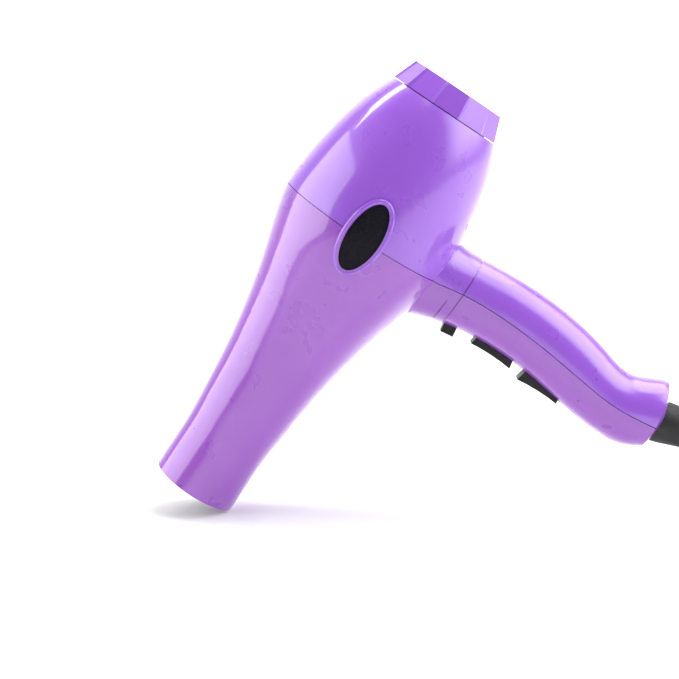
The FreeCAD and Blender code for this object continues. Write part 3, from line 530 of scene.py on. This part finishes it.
def make_woven_filter():
    """Fine wire cloth: wires one way pass over and under the wires the other way."""
    mesh = bmesh.new()
    ring = [(WEAVE_WIRE * MM * math.cos(a), WEAVE_WIRE * MM * math.sin(a))
            for a in (2 * math.pi / WEAVE_SIDES * k for k in range(WEAVE_SIDES))]
    count = int(WEAVE_RADIUS / WEAVE_PITCH)
    for forward, sideways, phase in ((TO_HANDLE, ACROSS, 0), (ACROSS, TO_HANDLE, 1)):
        for row in range(-count, count + 1):
            offset = row * WEAVE_PITCH
            reach = math.sqrt(WEAVE_RADIUS ** 2 - offset ** 2)
            steps = max(2, int(reach / WEAVE_PITCH * 2))
            path = []
            for i in range(-steps, steps + 1):
                place = reach * i / steps
                lift = WEAVE_WIRE * math.cos(math.pi * (place / WEAVE_PITCH + row + phase))
                path.append((forward * place + sideways * offset + AXIS * (WEAVE_ALONG + lift)) * MM)
            sweep(mesh, path, [(sideways, AXIS)] * len(path), ring, False)
    add_piece("woven_filter", mesh, steel, body="filter", stands_for=("filter_mesh",))


dress_nodes()
soften_edges()
lead.data.materials.append(jacket)
make_badge_rim("badge_rim_left", -1)
make_badge_rim("badge_rim_right", 1)
make_heating_coil()
make_woven_filter()

# ---------------------------------------------------------------- stage and light
FLOOR = -12 * MM
# The paper from the front edge to the top of the backdrop: depth and height over the floor.
SWEEP = [(-2.2, 0), (-1.0, 0), (0.9, 0), (1.35, .03), (1.6, .2), (1.72, .5), (1.75, 1.0), (1.75, 2.2)]
SWEEP_HALF_WIDTH, SWEEP_LEVELS = 2.6, 3


def make_sweep():
    """A floor that curves up into a backdrop, so that no horizon shows."""
    mesh = bmesh.new()
    rows = [[mesh.verts.new((side * SWEEP_HALF_WIDTH, y, FLOOR + z)) for side in (-1, 1)]
            for y, z in SWEEP]
    for (a, b), (c, d) in zip(rows, rows[1:]):
        mesh.faces.new((a, b, d, c)).smooth = True
    data = bpy.data.meshes.new("floor_sweep")
    mesh.to_mesh(data)
    mesh.free()
    paper = bpy.data.objects.new("floor_sweep", data)
    scene.collection.objects.link(paper)
    data.materials.append(floor_paper())
    smooth = paper.modifiers.new("smooth", "SUBSURF")
    smooth.levels = smooth.render_levels = SWEEP_LEVELS


# Each glowing card: where it is, where it points, its size, its strength and its soft edge's share.
CARDS = {"left_card": ((-.8, -.2, .5), (0, -.2, .3), (1.2, .9), 2.3, .06),
         "right_card": ((.95, -.15, .6), (0, -.1, .1), (1.3, 1.2), 3.0, .55),
         "top_card": ((.45, .15, .98), (.3, .1, 0), (1.0, 1.0), 3.2, .25)}
CARD_GREY, WHITE = (.8, .8, .8, 1), (1, 1, 1, 1)
BACKDROP_SIZE, BACKDROP_WATTS = (2.4, .6), 45
BACKDROP_PLACE, BACKDROP_TILT = (.1, .6, 1.6), math.radians(35)
SURROUND_COLOUR, SURROUND_STRENGTH = (.96, .97, 1, 1), .25


def glow_card(name, place, target, size, strength, edge):
    """A soft studio light: a card that glows, and fades over the given share of its half size."""
    paint = Paint(name)
    paint.shader.inputs["Base Color"].default_value = CARD_GREY
    split = paint.node("ShaderNodeSeparateXYZ")
    paint.link(paint.place, split.inputs["Vector"])
    fades = []
    for axis in "XY":
        reach = paint.node("ShaderNodeMath", operation="ABSOLUTE")
        paint.link(split.outputs[axis], reach.inputs[0])
        fades.append(paint.mapped(reach.outputs[0], 1, 0, 1 - edge, 1))
    glow = paint.node("ShaderNodeMath", operation="MULTIPLY")
    for fade, socket in zip(fades, glow.inputs):
        paint.link(fade, socket)
    power = paint.node("ShaderNodeMath", operation="MULTIPLY")
    power.inputs[1].default_value = strength
    paint.link(glow.outputs[0], power.inputs[0])
    paint.shader.inputs["Emission Color"].default_value = WHITE
    paint.link(power.outputs[0], paint.shader.inputs["Emission Strength"])
    mesh = bmesh.new()
    bmesh.ops.create_grid(mesh, x_segments=4, y_segments=4, size=1)
    data = bpy.data.meshes.new(name)
    mesh.to_mesh(data)
    mesh.free()
    card = bpy.data.objects.new(name, data)
    card.location = place
    card.scale = (size[0] / 2, size[1] / 2, 1)
    card.rotation_mode = "QUATERNION"
    card.rotation_quaternion = (Vector(target) - Vector(place)).to_track_quat("Z", "Y")
    data.materials.append(paint.material)
    scene.collection.objects.link(card)


def make_light():
    """A crisp card on the left, softer ones on the right and overhead, and an even surround."""
    for name, settings in CARDS.items():
        glow_card(name, *settings)
    data = bpy.data.lights.new("backdrop_light", "AREA")
    data.shape, data.energy = "RECTANGLE", BACKDROP_WATTS
    data.size, data.size_y = BACKDROP_SIZE
    light = bpy.data.objects.new("backdrop_light", data)
    light.location = BACKDROP_PLACE
    light.rotation_euler = (BACKDROP_TILT, 0, 0)
    scene.collection.objects.link(light)
    world = bpy.data.worlds.new("surround")
    scene.world = world
    world.use_nodes = True
    surround = world.node_tree.nodes["Background"]
    surround.inputs["Color"].default_value = SURROUND_COLOUR
    surround.inputs["Strength"].default_value = SURROUND_STRENGTH
    scene.view_settings.view_transform = "Standard"


make_sweep()
make_light()
